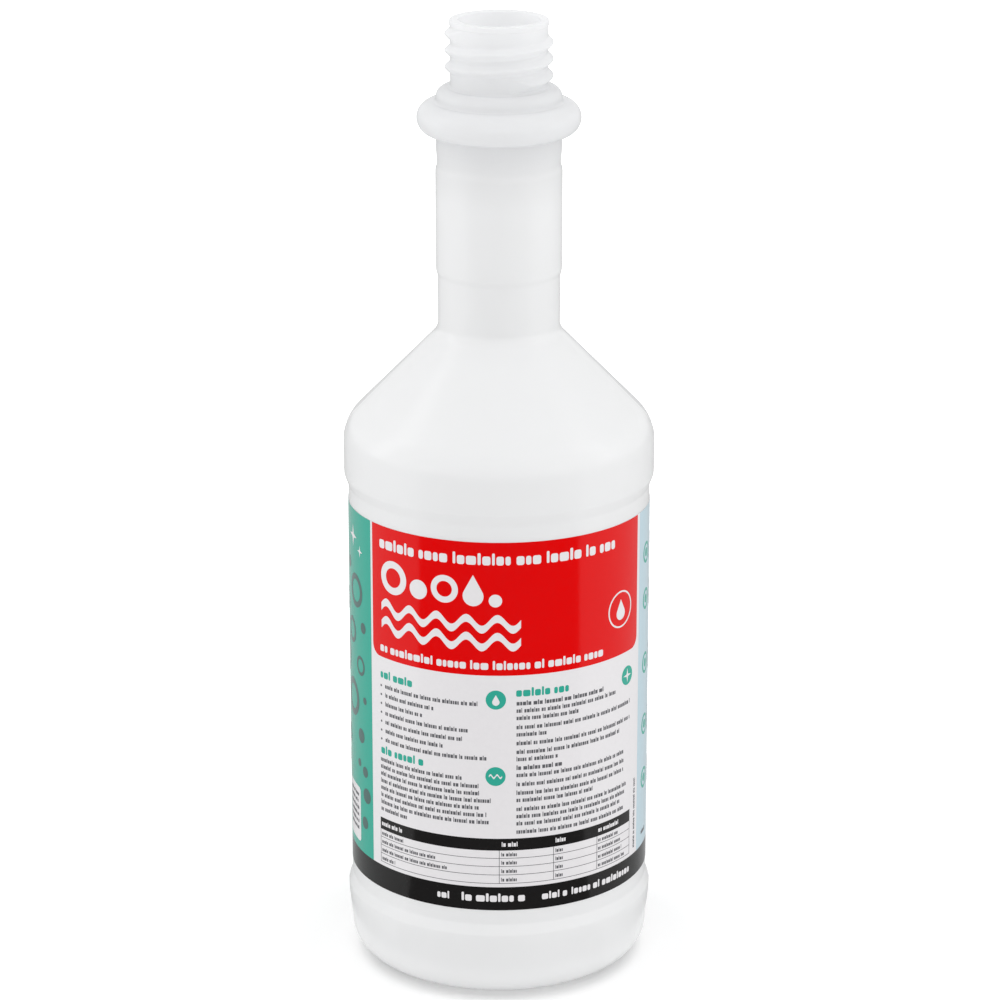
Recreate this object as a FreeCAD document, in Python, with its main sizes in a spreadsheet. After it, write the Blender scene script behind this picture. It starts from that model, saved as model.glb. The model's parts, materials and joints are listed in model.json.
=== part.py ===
"""A 750 ml trigger-spray bottle with its film label, as a parametric FreeCAD document.

The bottle is one blown shell of natural HDPE: a round body with a recessed label
panel, a conical shoulder, a long grip with a raised hand band, a hollow finger ring,
a collar and an open 28 mm neck with a coarse continuous thread. The label is one
film wrapped round the panel, with a narrow gap between its ends at the back.

Millimetres. +Z is up, the front of the label looks along -Y, and the origin is the
centre of the base, on the plane that the bottle stands on.
"""
import FreeCAD, Part
import math
import os
import Sketcher

# ---------------------------------------------------------------- driving sizes
# Radii are to the outside of the plastic, and a relief is how far a form stands out
# from the plain radius beside it. Heights stack up from the standing plane.
SIZES = [
    # base and foot
    ("push_up_slope", 4.5, "width of the slope round the flat middle of the base"),
    ("push_up_depth", 3.2, "height of that flat above the standing plane"),
    ("standing_width", 10.2, "from the push-up out to where the side would meet the plane"),
    ("foot_draw", 1.6, "how far the side draws in from the belt to the standing plane"),
    ("foot_corner", 8.0, "rounding between the standing ring and the side"),
    ("foot_height", 16.5, "height over which the side draws in"),
    # body
    ("panel_radius", 39.25, "recessed label panel"),
    ("panel_height", 108.8, "height of the panel between its slopes"),
    ("step_height", 3.0, "height of the slope at each end of the label panel"),
    ("belt_relief", 1.05, "relief of the belt below the panel"),
    ("belt_height", 2.1, "height of the belt"),
    ("band_relief", 1.2, "relief of the band between the panel and the shoulder"),
    ("band_height", 13.0, "height of the band up to the shoulder's edge"),
    ("shoulder_blend", 11.0, "rounding of the shoulder's edge"),
    ("shoulder_rise", 25.3, "height of the conical shoulder"),
    # grip
    ("grip_radius", 15.75, "plain grip, below and above the hand band"),
    ("grip_rise", 14.6, "height of the plain grip below the hand band"),
    ("hand_band_relief", 0.45, "relief of the band round the grip, where the hand holds"),
    ("hand_band_height", 26.2, "height of the hand band"),
    ("hand_band_step", 1.1, "height of the slope at each end of the hand band"),
    ("collar_rise", 4.35, "from the hand band's upper slope to the collar"),
    # collar and finger ring
    ("collar_relief", 0.3, "relief of the collar, which runs on both sides of the ring"),
    ("collar_half", 7.85, "from the middle of the ring to either end of the collar"),
    ("collar_corner", 1.5, "bevel of the collar's top edge"),
    ("ring_relief", 4.89, "relief of the finger ring on the collar"),
    ("ring_round", 4.15, "radius of the ring's rounded section"),
    ("ring_flank", 60.0, "half of the angle that is rounded; slopes run on from there"),
    # neck finish
    ("neck_radius", 12.4, "neck at the root of the thread"),
    ("neck_height", 17.25, "from the collar to the rim"),
    ("bore_radius", 10.35, "bore of the neck"),
    ("bore_lead", 1.4, "height above the collar where the bore starts to open out"),
    ("lip_relief", 0.2, "relief of the lip bead round the rim"),
    ("lip_height", 1.5, "height of the lip bead"),
    # thread
    ("thread_relief", 1.4, "relief of the thread's crest on the neck"),
    ("thread_pitch", 4.233, "rise in one turn: six turns to the inch"),
    ("thread_crest", 0.4, "width of the crest"),
    ("thread_flank", 45.0, "slope of each flank from square to the neck, in degrees"),
    ("thread_root", 0.4, "depth that the ridge is let into the neck"),
    ("thread_top", 3.2, "from the rim down to the crest at the thread's upper end"),
    ("thread_turns", 2.85, "turns from end to end"),
    ("thread_top_angle", 225.0, "where the upper end lies, in degrees from +X towards +Y"),
    ("run_out", 0.1, "height of the ridge left at the end of a run-out"),
    ("run_out_reach", 0.4, "how far a run-out's cut goes above and below the crest, in turns"),
    # wall and label
    ("wall", 1.1, "wall of the blown shell"),
    ("foot_bevel", 4.6, "bevel of the hollow inside the foot's corner"),
    ("shoulder_bevel", 2.1, "bevel of the hollow inside the shoulder's edge"),
    ("ring_crest_wall", 1.6, "wall behind the crest of the ring, where plastic gathers"),
    ("label_thickness", 0.12, "film of the label"),
    ("label_glue", 0.02, "clearance that the glue fills between panel and film"),
    ("label_foot_margin", 4.0, "panel left bare below the label"),
    ("label_head_margin", 4.1, "panel left bare above the label"),
    ("label_gap", 3.0, "gap between the label's ends at the back, along the panel"),
]

document = FreeCAD.newDocument("spray_bottle")
sheet = document.addObject("Spreadsheet::Sheet", "sizes")
for row, (alias, value, meaning) in enumerate(SIZES, start=1):
    sheet.set("A%d" % row, meaning)
    sheet.set("B%d" % row, str(value))
    sheet.setAlias("B%d" % row, alias)
document.recompute()


def size(alias):
    """The expression for one cell of the sheet."""
    return "sizes." + alias


def worth(expression):
    """What an expression comes to, as a plain number."""
    return float(sheet.evalExpression(expression))


# Heights above the standing plane, each the sum of the sizes below it.
STACK = [
    ("belt_foot", "foot_height"),
    ("belt_head", "belt_height"),
    ("panel_foot", "step_height"),
    ("panel_head", "panel_height"),
    ("band_foot", "step_height"),
    ("shoulder_edge", "band_height"),
    ("grip_foot", "shoulder_rise"),
    ("grip_waist", "grip_rise"),
    ("hand_band_foot", "hand_band_step"),
    ("hand_band_head", "hand_band_height"),
    ("grip_head", "hand_band_step"),
    ("collar_foot", "collar_rise"),
    ("ring_middle", "collar_half"),
    ("collar_head", "collar_half"),
    ("rim", "neck_height"),
]
level = {}
sum_so_far = []
for name, step in STACK:
    sum_so_far.append(size(step))
    level[name] = "(" + " + ".join(sum_so_far) + ")"

# Radii, each from the plain one beside it, so that the forms keep their relief.
RADII = [
    ("panel", "sizes.panel_radius"),
    ("belt", "sizes.panel_radius + sizes.belt_relief"),
    ("band", "sizes.panel_radius + sizes.band_relief"),
    ("foot", "sizes.panel_radius + sizes.belt_relief - sizes.foot_draw"),
    ("grip", "sizes.grip_radius"),
    ("hand_band", "sizes.grip_radius + sizes.hand_band_relief"),
    ("collar", "sizes.grip_radius + sizes.collar_relief"),
    ("ring", "sizes.grip_radius + sizes.collar_relief + sizes.ring_relief"),
    ("neck", "sizes.neck_radius"),
    ("lip", "sizes.neck_radius + sizes.lip_relief"),
    ("thread", "sizes.neck_radius + sizes.thread_relief"),
]
radius = {name: "(" + expression + ")" for name, expression in RADII}


# ---------------------------------------------------------------- sketch helpers
UPRIGHT = FreeCAD.Vector(0, 1, 0)
OUT_OF_SKETCH = FreeCAD.Vector(0, 0, 1)
# The numbers by which a sketch knows the points of a side, its origin and its axes.
START, END, CENTRE = 1, 2, 3
ORIGIN = (-1, 1)
AXIS_ACROSS, AXIS_UP = -1, -2


def new_body(label):
    """An empty body with a label of its own, at the origin."""
    body = document.addObject("PartDesign::Body", label)
    body.Label = label
    body.Placement = FreeCAD.Placement()
    return body


def new_sketch(body, name, angle="0"):
    """An empty sketch on the upright plane that stands at an angle round the axis.

    Across is away from the axis and up is +Z. Angles run from +X towards +Y.
    """
    sketch = body.newObject("Sketcher::SketchObject", name)
    planes = [item for item in body.Origin.OriginFeatures if item.Role == "XZ_Plane"]
    sketch.AttachmentSupport = [(planes[0], "")]
    sketch.MapMode = "FlatFace"
    turned = FreeCAD.Rotation(UPRIGHT, worth(angle))
    sketch.AttachmentOffset = FreeCAD.Placement(FreeCAD.Vector(0, 0, 0), turned)
    if angle != "0":
        sketch.setExpression("AttachmentOffset.Rotation.Angle", angle)
    document.recompute()
    return sketch


def tie(sketch, kind, element, end, expression, name):
    """Hold one point of a sketch at a distance from the origin, across or up."""
    amount = worth(expression)
    if abs(amount) < 1e-9:
        axis = AXIS_UP if kind == "DistanceX" else AXIS_ACROSS
        sketch.addConstraint(Sketcher.Constraint("PointOnObject", element, end, axis))
        return
    number = sketch.addConstraint(Sketcher.Constraint(kind, *ORIGIN, element, end, amount))
    sketch.renameConstraint(number, name)
    sketch.setExpression("Constraints." + name, expression)


def add_bulge(sketch, start, end, centre_across):
    """A side that bulges outwards as an arc, from start up to end."""
    chord = end - start
    half_way = (start + end) * 0.5
    rise = half_way.y - (centre_across - half_way.x) * chord.x / chord.y
    centre = FreeCAD.Vector(centre_across, rise, 0)
    circle = Part.Circle(centre, OUT_OF_SKETCH, (start - centre).Length)
    first, last = [math.atan2(point.y - rise, point.x - centre_across) for point in (start, end)]
    sketch.addGeometry(Part.ArcOfCircle(circle, first, last), False)


def draw_outline(sketch, corners):
    """A closed outline, anticlockwise through corners given as (across, up, extra).

    extra is "" for a sharp corner, the alias of a rounding between two straight sides,
    or ("bulge", expression) where the side that leaves the corner is an arc. The
    expression then says how far across the arc's centre lies.
    """
    places = [FreeCAD.Vector(worth(across), worth(up), 0) for across, up, extra in corners]
    extras = [extra for across, up, extra in corners]
    bulges = {n: extra[1] for n, extra in enumerate(extras) if isinstance(extra, tuple)}
    for number, (start, end) in enumerate(zip(places, places[1:] + places[:1])):
        if number in bulges:
            add_bulge(sketch, start, end, worth(bulges[number]))
        else:
            sketch.addGeometry(Part.LineSegment(start, end), False)
    for number, (across, up, extra) in enumerate(corners):
        before = (number - 1) % len(corners)
        sketch.addConstraint(Sketcher.Constraint("Coincident", before, END, number, START))
        tie(sketch, "DistanceX", number, START, across, "across_%d" % number)
        tie(sketch, "DistanceY", number, START, up, "up_%d" % number)
    for number, expression in bulges.items():
        tie(sketch, "DistanceX", number, CENTRE, expression, "centre_%d" % number)
    for number, extra in enumerate(extras):
        if extra and number not in bulges:
            round_corner(sketch, number, places, extra)
    document.recompute()


def round_corner(sketch, number, places, alias):
    """Round the corner between two straight sides, and keep the corner as a point."""
    before = (number - 1) % len(places)
    here = places[number]
    amount = worth(size(alias))
    on_sides = [(places[before] + here) * 0.5, (places[(number + 1) % len(places)] + here) * 0.5]
    sketch.fillet(before, number, on_sides[0], on_sides[1], amount, True, True)
    arc = len(sketch.Geometry) - 2
    name = "round_%d" % number
    rounding = sketch.addConstraint(Sketcher.Constraint("Radius", arc, amount))
    sketch.renameConstraint(rounding, name)
    sketch.setExpression("Constraints." + name, size(alias))


def turn(body, name, sketch, kind="Revolution"):
    """Turn a sketch right round the upright axis, to add a form or cut a groove."""
    feature = body.newObject("PartDesign::" + kind, name)
    feature.Profile = sketch
    feature.ReferenceAxis = (sketch, ["V_Axis"])
    feature.Angle = 360
    document.recompute()
    return feature


# ---------------------------------------------------------------- the blown shell
bottle = new_body("bottle")

# The ring's section is rounded outside, and a slope runs on from each end of the arc.
ring_across = "(" + radius["ring"] + " - sizes.ring_round)"
ring_arc_across = ring_across + " + sizes.ring_round * cos(sizes.ring_flank)"
ring_arc_rise = "sizes.ring_round * sin(sizes.ring_flank)"


def flank_rise(reach, across):
    """Height above the ring's middle of a slope that passes the centre at a reach."""
    beyond = "(" + across + " - " + ring_across + ")"
    return "(" + reach + " - " + beyond + " * cos(sizes.ring_flank)) / sin(sizes.ring_flank)"


ring_rise = flank_rise("sizes.ring_round", radius["collar"])
push_up_edge = "(" + radius["foot"] + " - sizes.standing_width)"
push_up_flat = "(" + push_up_edge + " - sizes.push_up_slope)"
lip_foot = level["rim"] + " - sizes.lip_height"

outer_sketch = new_sketch(bottle, "outer_outline")
draw_outline(outer_sketch, [
    ("0", size("push_up_depth"), ""),
    (push_up_flat, size("push_up_depth"), ""),
    (push_up_edge, "0", ""),
    (radius["foot"], "0", "foot_corner"),
    (radius["belt"], level["belt_foot"], ""),
    (radius["belt"], level["belt_head"], ""),
    (radius["panel"], level["panel_foot"], ""),
    (radius["panel"], level["panel_head"], ""),
    (radius["band"], level["band_foot"], ""),
    (radius["band"], level["shoulder_edge"], "shoulder_blend"),
    (radius["grip"], level["grip_foot"], ""),
    (radius["grip"], level["grip_waist"], ""),
    (radius["hand_band"], level["hand_band_foot"], ""),
    (radius["hand_band"], level["hand_band_head"], ""),
    (radius["grip"], level["grip_head"], ""),
    (radius["collar"], level["collar_foot"], ""),
    (radius["collar"], level["ring_middle"] + " - " + ring_rise, ""),
    (ring_arc_across, level["ring_middle"] + " - " + ring_arc_rise,
     ("bulge", ring_across)),
    (ring_arc_across, level["ring_middle"] + " + " + ring_arc_rise, ""),
    (radius["collar"], level["ring_middle"] + " + " + ring_rise, ""),
    (radius["collar"], level["collar_head"] + " - sizes.collar_corner", ""),
    (radius["collar"] + " - sizes.collar_corner", level["collar_head"], ""),
    (radius["neck"], level["collar_head"], ""),
    (radius["neck"], lip_foot, ""),
    (radius["lip"], lip_foot, ""),
    (radius["lip"], level["rim"], ""),
    ("0", level["rim"], ""),
])
turn(bottle, "outer_form", outer_sketch)
print("outer form", round(bottle.Shape.Volume), "mm3")

# The plastic is blown, so the hollow follows the large forms at one wall's distance,
# and the low relief of the belt, the hand band and the collar is thicker plastic. The
# neck is thicker too, round a straight bore.
body_hollow = "(" + radius["panel"] + " - sizes.wall)"
band_hollow = "(" + radius["band"] + " - sizes.wall)"
grip_hollow = "(" + radius["grip"] + " - sizes.wall)"
floor_rise = "(sizes.push_up_depth + sizes.wall)"
shoulder_run = "(" + radius["band"] + " - " + radius["grip"] + ")"
shoulder_turn = "atan(" + shoulder_run + " / sizes.shoulder_rise)"
slope_drop = "sizes.wall * tan(" + shoulder_turn + " / 2)"
hollow_edge = level["shoulder_edge"] + " - " + slope_drop
ring_crest = "(" + radius["ring"] + " - sizes.ring_crest_wall)"
ring_reach = "(sizes.ring_round - sizes.wall)"
ring_foot = flank_rise(ring_reach, grip_hollow)
ring_head = flank_rise(ring_reach, ring_crest)
ceiling = level["collar_head"] + " - sizes.wall"
ceiling_bevel = " - sizes.collar_corner / 2"

hollow_sketch = new_sketch(bottle, "hollow_outline")
draw_outline(hollow_sketch, [
    ("0", floor_rise, ""),
    (push_up_flat, floor_rise, ""),
    (push_up_edge, size("wall"), ""),
    (body_hollow + " - sizes.foot_bevel", size("wall"), ""),
    (body_hollow, "sizes.wall + sizes.foot_bevel", ""),
    (body_hollow, level["panel_head"], ""),
    (band_hollow, level["band_foot"], ""),
    (band_hollow, hollow_edge + " - sizes.shoulder_bevel", ""),
    (band_hollow + " - sizes.shoulder_bevel * sin(" + shoulder_turn + ")",
     hollow_edge + " + sizes.shoulder_bevel * cos(" + shoulder_turn + ")", ""),
    (grip_hollow, level["grip_foot"] + " - " + slope_drop, ""),
    (grip_hollow, level["ring_middle"] + " - " + ring_foot, ""),
    (ring_crest, level["ring_middle"] + " - " + ring_head, ""),
    (ring_crest, level["ring_middle"] + " + " + ring_head, ""),
    (grip_hollow, level["ring_middle"] + " + " + ring_foot, ""),
    (grip_hollow, ceiling + ceiling_bevel, ""),
    (grip_hollow + ceiling_bevel, ceiling, ""),
    ("sizes.neck_radius - sizes.wall", ceiling, ""),
    (size("bore_radius"), level["collar_head"] + " + sizes.bore_lead", ""),
    (size("bore_radius"), level["rim"], ""),
    ("0", level["rim"], ""),
])
turn(bottle, "hollow", hollow_sketch, "Groove")
print("blown shell", round(bottle.Shape.Volume), "mm3")

# ---------------------------------------------------------------- the thread
# It is one ridge, a flat-topped V let into the neck, that falls to the right.
thread_head = level["rim"] + " - sizes.thread_top"
thread_foot = thread_head + " - sizes.thread_pitch * sizes.thread_turns"
thread_foot_angle = "sizes.thread_top_angle - 360 * sizes.thread_turns"
root_across = "(sizes.neck_radius - sizes.thread_root)"
crest_half = "sizes.thread_crest / 2"
flank_run = "(sizes.thread_relief + sizes.thread_root) * tan(sizes.thread_flank)"
root_half = "(" + crest_half + " + " + flank_run + ")"
thread_sketch = new_sketch(bottle, "thread_section", thread_foot_angle)
draw_outline(thread_sketch, [
    (radius["thread"], thread_foot + " - " + crest_half, ""),
    (radius["thread"], thread_foot + " + " + crest_half, ""),
    (root_across, thread_foot + " + " + root_half, ""),
    (root_across, thread_foot + " - " + root_half, ""),
])
before_thread = bottle.Shape.Volume
thread = bottle.newObject("PartDesign::AdditiveHelix", "thread")
thread.Profile = thread_sketch
thread.ReferenceAxis = (thread_sketch, ["V_Axis"])
thread.Mode = "pitch-turns-angle"
thread.setExpression("Pitch", size("thread_pitch"))
thread.setExpression("Turns", size("thread_turns"))
document.recompute()
print("thread adds", round(bottle.Shape.Volume - before_thread), "mm3")


def cut_run_out(name, angle, crest_height, clockwise):
    """At one end, let the ridge run out against a flat that all but touches the neck."""
    sketch = new_sketch(bottle, name + "_section", angle)
    inside = "sizes.neck_radius + sizes.run_out"
    outside = radius["thread"] + " + sizes.run_out"
    lower = crest_height + " - sizes.thread_pitch * sizes.run_out_reach"
    upper = crest_height + " + sizes.thread_pitch * sizes.run_out_reach"
    draw_outline(sketch, [
        (inside, lower, ""),
        (outside, lower, ""),
        (outside, upper, ""),
        (inside, upper, ""),
    ])
    before = bottle.Shape.Volume
    flat = bottle.newObject("PartDesign::Pocket", name)
    flat.Profile = sketch
    flat.Reversed = clockwise
    flat.setExpression("Length", radius["thread"])
    document.recompute()
    taken = before - bottle.Shape.Volume
    if taken < 1:
        raise RuntimeError(name + " cut nothing")
    print(name, "takes", round(taken, 1), "mm3")


cut_run_out("upper_run_out", "sizes.thread_top_angle", thread_head, True)
cut_run_out("lower_run_out", thread_foot_angle, thread_foot, False)

# ---------------------------------------------------------------- the label
# The film lies on the panel, apart from a strip of glue, and its ends leave a gap at
# the back of the bottle, which is at +Y.
label = new_body("label")
gap_angle = "(sizes.label_gap / sizes.panel_radius * 180 / pi)"
film_in = "(sizes.panel_radius + sizes.label_glue)"
film_out = "(" + film_in + " + sizes.label_thickness)"
film_foot = level["panel_foot"] + " + sizes.label_foot_margin"
film_head = level["panel_head"] + " - sizes.label_head_margin"
film_sketch = new_sketch(label, "film_section", "90 + " + gap_angle + " / 2")
draw_outline(film_sketch, [
    (film_in, film_foot, ""),
    (film_out, film_foot, ""),
    (film_out, film_head, ""),
    (film_in, film_head, ""),
])
film = turn(label, "film", film_sketch)
film.setExpression("Angle", "360 - " + gap_angle)

# ---------------------------------------------------------------- checks and files
document.recompute()
for item in document.Objects:
    if "Invalid" in item.State or "Error" in item.State:
        raise RuntimeError("%s failed: %s" % (item.Name, item.getStatusString()))
os.makedirs("parts", exist_ok=True)
for body in (bottle, label):
    shape = body.Shape
    if shape.isNull() or not shape.isValid() or len(shape.Solids) != 1:
        raise RuntimeError(body.Label + " isn't one valid solid")
    shape.exportStep("parts/%s.step" % body.Label)
    print(body.Label, round(shape.Volume), "mm3,", len(shape.Faces), "faces")
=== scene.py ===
# %% [markdown]
# # A spray bottle of milky plastic, with a film label
#
# The real thing is a blown polyethylene bottle for a trigger sprayer, shown open: a
# round body, a conical shoulder, a long grip for the hand, a finger ring and a
# threaded neck. A printed film is wrapped once round its body. This lesson dresses
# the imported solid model. It draws the bottle again as one smooth turned skin, wraps
# the film and its printing round it, and lights them on a pale floor.

# %% Load the frame
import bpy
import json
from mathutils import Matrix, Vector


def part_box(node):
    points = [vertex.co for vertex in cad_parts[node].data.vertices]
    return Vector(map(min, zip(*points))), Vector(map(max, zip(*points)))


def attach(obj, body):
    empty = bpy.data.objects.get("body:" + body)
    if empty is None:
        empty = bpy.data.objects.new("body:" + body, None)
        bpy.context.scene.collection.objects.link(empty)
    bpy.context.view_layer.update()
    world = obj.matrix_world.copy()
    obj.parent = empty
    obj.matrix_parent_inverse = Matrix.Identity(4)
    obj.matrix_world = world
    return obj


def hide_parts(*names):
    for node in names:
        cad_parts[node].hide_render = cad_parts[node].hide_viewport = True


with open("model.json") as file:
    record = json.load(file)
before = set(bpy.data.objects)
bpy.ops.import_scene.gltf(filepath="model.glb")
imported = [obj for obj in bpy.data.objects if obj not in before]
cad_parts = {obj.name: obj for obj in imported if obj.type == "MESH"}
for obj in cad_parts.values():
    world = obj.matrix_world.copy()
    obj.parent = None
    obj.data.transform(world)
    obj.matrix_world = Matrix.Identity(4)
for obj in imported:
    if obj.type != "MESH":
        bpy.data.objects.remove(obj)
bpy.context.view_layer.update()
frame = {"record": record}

# %% [markdown]
# ## Units and fixed places
#
# Blender works in metres, but a bottle is easier to think of in millimetres, so
# every size below is in millimetres and turned into metres where a mesh is made.
# The height, the widest radius, the bore and the label's place all come from the
# solid model, so that the dressed bottle can't drift away from it.

# %% Tools, and the places that the solid model gives
import json
import math

import bmesh
import bpy
from mathutils import Vector

MM = 0.001
bottle_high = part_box("bottle")[1]
label_low, label_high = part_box("label")
mounts = {mount["name"]: mount for mount in frame["record"]["mounts"]}

rim = bottle_high.z / MM
band_radius = bottle_high.x / MM
bore_radius = mounts["neck_bore"]["dims"]["r_mm"]
film_outside = label_high.x / MM
film_foot = label_low.z / MM
film_head = label_high.z / MM
print("rim at %.1f mm, band %.2f mm, film %.1f to %.1f mm up"
      % (rim, band_radius, film_foot, film_head))

# %% [markdown]
# ## The outline of the bottle
#
# A blown bottle copies its mould, and this mould is round, so half of its section
# says everything about it. Each corner below has a radius from the axis, a height
# above the floor and the rounding that the mould gives it. Plastic can't be blown
# into a sharp corner, so none is left sharp. Corners with a rounding are easy to read
# and to change, which a long list of points would not be.

# %% Radii and heights of the outside
parting_height = 0.07
panel_radius = band_radius - 1.2
belt_radius = panel_radius + 1.05
foot_radius = belt_radius - 1.6
push_up_radius = foot_radius - 10.2
dome_radius = push_up_radius - 4.5
grip_radius = 15.75
hand_band_radius = grip_radius + 0.45
collar_radius = grip_radius + 0.3
ring_radius = collar_radius + 4.89
ring_round = 4.15
neck_radius = 12.4
lip_radius = neck_radius + 0.2

push_up_height = 3.2
belt_foot = 16.5
panel_foot = 21.6
panel_head = 130.4
band_foot = panel_head + 3
shoulder_edge = 146.4
grip_foot = 171.7
hand_band_foot = 187.4
hand_band_head = 213.6
hand_band_slope = 1.4
collar_foot = 219.05
ring_middle = 226.9
collar_head = 234.75
lip_foot = rim - 1.5
print("grip %.1f mm, ring %.1f mm and neck %.1f mm across"
      % (2 * grip_radius, 2 * ring_radius, 2 * neck_radius))

# %% Corners of the outside, from the middle of the base up to the rim
outside_corners = [
    (0, push_up_height, 0),
    (dome_radius, push_up_height, 5),
    (push_up_radius, 0, 2),
    (foot_radius, 0, 8),
    (belt_radius, belt_foot, 16),
    (belt_radius, belt_foot + 2.1, 2.5),
    (panel_radius, panel_foot, 2.5),
    (panel_radius, panel_head, 2.5),
    (band_radius - parting_height, band_foot, 2.5),
    (band_radius - parting_height, shoulder_edge, 11),
    (grip_radius, grip_foot, 4.5),
    (grip_radius, hand_band_foot - hand_band_slope, 3.5),
    (hand_band_radius, hand_band_foot, 3.5),
    (hand_band_radius, hand_band_head, 3.5),
    (grip_radius, hand_band_head + hand_band_slope, 3.5),
    (collar_radius, collar_foot, 6),
    (collar_radius, ring_middle - ring_round, 0.7),
    (ring_radius, ring_middle - ring_round, ring_round),
    (ring_radius, ring_middle + ring_round, ring_round),
    (collar_radius, ring_middle + ring_round, 0.7),
    (collar_radius, collar_head, 2.6),
    (neck_radius, collar_head, 0.8),
    (neck_radius, lip_foot, 0.1),
    (lip_radius, lip_foot, 0.08),
    (lip_radius, rim, 0.45),
]
print(len(outside_corners), "corners outside")

# %% [markdown]
# ## The hollow
#
# The wall is about a millimetre thick everywhere, apart from the neck, which is
# thicker so that a cap can be screwed down on it. Only the bore can be seen, but the
# whole hollow is drawn, because light passes through the milky wall and shows how
# thick it is.

# %% Corners of the hollow, from the rim down to the floor of the bottle
wall = 1.1
ring_wall = 1.6
ring_hollow = 2.1
ring_mouth = 4.6
slope_drop = 0.45
bore_foot = collar_head + 1.4

hollow_corners = [
    (bore_radius, rim, 0.45),
    (bore_radius, bore_foot, 2),
    (neck_radius - wall, collar_head - wall, 0.5),
    (grip_radius - wall, collar_head - wall, 1.5),
    (grip_radius - wall, ring_middle + ring_mouth, 1),
    (ring_radius - ring_wall, ring_middle + ring_hollow, 1.5),
    (ring_radius - ring_wall, ring_middle - ring_hollow, 1.5),
    (grip_radius - wall, ring_middle - ring_mouth, 1),
    (grip_radius - wall, grip_foot - slope_drop, 5),
    (band_radius - wall, shoulder_edge - slope_drop, 9.9),
    (band_radius - wall, band_foot, 2.5),
    (panel_radius - wall, panel_head, 2.5),
    (panel_radius - wall, wall, 6.9),
    (push_up_radius, wall, 3),
    (dome_radius, push_up_height + wall, 5),
    (0, push_up_height + wall, 0),
]
print(len(hollow_corners), "corners inside")

# %% [markdown]
# ## Rounding the corners
#
# A rounding touches both of its straight sides. The distance back from the corner to
# where it touches follows from the angle between the sides, and so does its centre.
# Points are then set along it, one for every few degrees, so that a tight corner and
# a wide one look equally smooth. Long straight sides get points as well, close
# together on the neck, where the thread has to be carved out of them.


# %% Turn corners into points
def rounded(corners, turn=math.radians(7)):
    """Points along an outline whose corners are (radius, height, rounding)."""
    places = [Vector((across, up)) for across, up, rounding in corners]
    points = []
    for number, (across, up, rounding) in enumerate(corners):
        here = places[number]
        ends = number in (0, len(corners) - 1)
        if ends or not rounding:
            points.append(here)
            continue
        back = (places[number - 1] - here).normalized()
        onward = (places[number + 1] - here).normalized()
        opening = back.angle(onward)
        reach = rounding / math.tan(opening / 2)
        centre = here + (back + onward).normalized() * (rounding / math.sin(opening / 2))
        first, last = here + back * reach - centre, here + onward * reach - centre
        steps = max(2, round((math.pi - opening) / turn))
        points += [centre + first.slerp(last, step / steps).normalized() * rounding
                   for step in range(steps + 1)]
    return points


print(len(rounded(outside_corners)), "points on the outside's corners")

# %% Fill in the long straight sides
shortest_step = 0.01
neck_step = 0.24
plain_step = 6.0


def spread(points, longest):
    """The same line with more points where steps are long, and no doubled points."""
    filled = []
    for start, end in zip(points, points[1:]):
        length = (end - start).length
        if length < shortest_step:
            continue
        pieces = max(1, math.ceil(length / longest(start, end)))
        filled += [start.lerp(end, piece / pieces) for piece in range(pieces)]
    return filled + [points[-1]]


def longest_step(start, end):
    """How far apart points may be: close on the neck outside, wider elsewhere."""
    on_neck = min(start.y, end.y) >= collar_head and min(start.x, end.x) > bore_radius + 1
    return neck_step if on_neck else plain_step


# The outside and the hollow are one line, so the rim between them is rounded too.
whole_line = spread(rounded(outside_corners + hollow_corners), longest_step)
lip_number = max(range(len(whole_line)), key=lambda number: whole_line[number].y)
print(len(whole_line), "points, the rim at number", lip_number)

# %% [markdown]
# ## What a turned outline can't give: the thread and the parting line
#
# Two things on this bottle aren't round. The thread is one ridge that climbs round
# the neck, at six turns to the inch, as every 28 mm closure has it. The parting line
# is the hair of plastic that squeezes between the two halves of the mould, down both
# sides and across the base. Both could be meshes of their own, but they belong to one
# skin, so they are added as a small height over the turned surface.

# %% The thread's height at any place on the neck
thread_pitch = 4.233
thread_turns = 2.85
thread_relief = 1.4
thread_top = rim - 3.2
thread_top_angle = math.radians(225)
crest_rounding = 0.45
run_out_radius = neck_radius + 0.1
run_out_turn = math.radians(60)


def ridge(away):
    """Height of the ridge's rounded V at a distance up or down from its crest."""
    corner = crest_rounding * math.sqrt(0.5)
    crest_centre = thread_relief - crest_rounding
    if away < corner:
        return crest_centre + math.sqrt(crest_rounding ** 2 - away ** 2)
    return crest_centre + corner - (away - corner)


def run_out(turns_from_end):
    """Limit on the ridge near an end, where it is cut off by a flat."""
    angle = min(turns_from_end * 2 * math.pi, run_out_turn)
    return run_out_radius / math.cos(angle) - neck_radius


def thread(angle, height):
    """How far the thread stands out from the neck at an angle and a height."""
    first = ((thread_top_angle - angle) / (2 * math.pi)) % 1
    tallest = 0
    for lap in range(3):
        turns = first + lap
        if turns > thread_turns:
            continue
        away = abs(height - (thread_top - thread_pitch * turns))
        limit = min(run_out(turns), run_out(thread_turns - turns))
        tallest = max(tallest, min(ridge(away), limit))
    return tallest


print("crest at", round(neck_radius + thread(0, thread_top - 0.625 * thread_pitch), 2), "mm")

# %% The parting line's height on the outside of the mould halves
parting_width = 0.22
pinch_depth = 0.3
pinch_width = 0.5
film_margin = 1
parting_head = collar_head - 3


def parting(across, height):
    """Height of the hair of plastic at a distance across from the mould's joint."""
    under_film = film_foot - film_margin < height < film_head + film_margin
    if under_film or height > parting_head:
        return 0
    return parting_height * math.exp(-(across / parting_width) ** 2)


print("parting line", parting(0, 150), "mm high")

# %% [markdown]
# ## Turning the skin
#
# The line is turned round the upright axis in even steps. A few more steps go close
# to the parting line, which is much finer than they are. Where the line meets the
# axis, at the middle of the base and of the floor, all the turned copies of the point
# are the same place, and they are merged.

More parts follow.
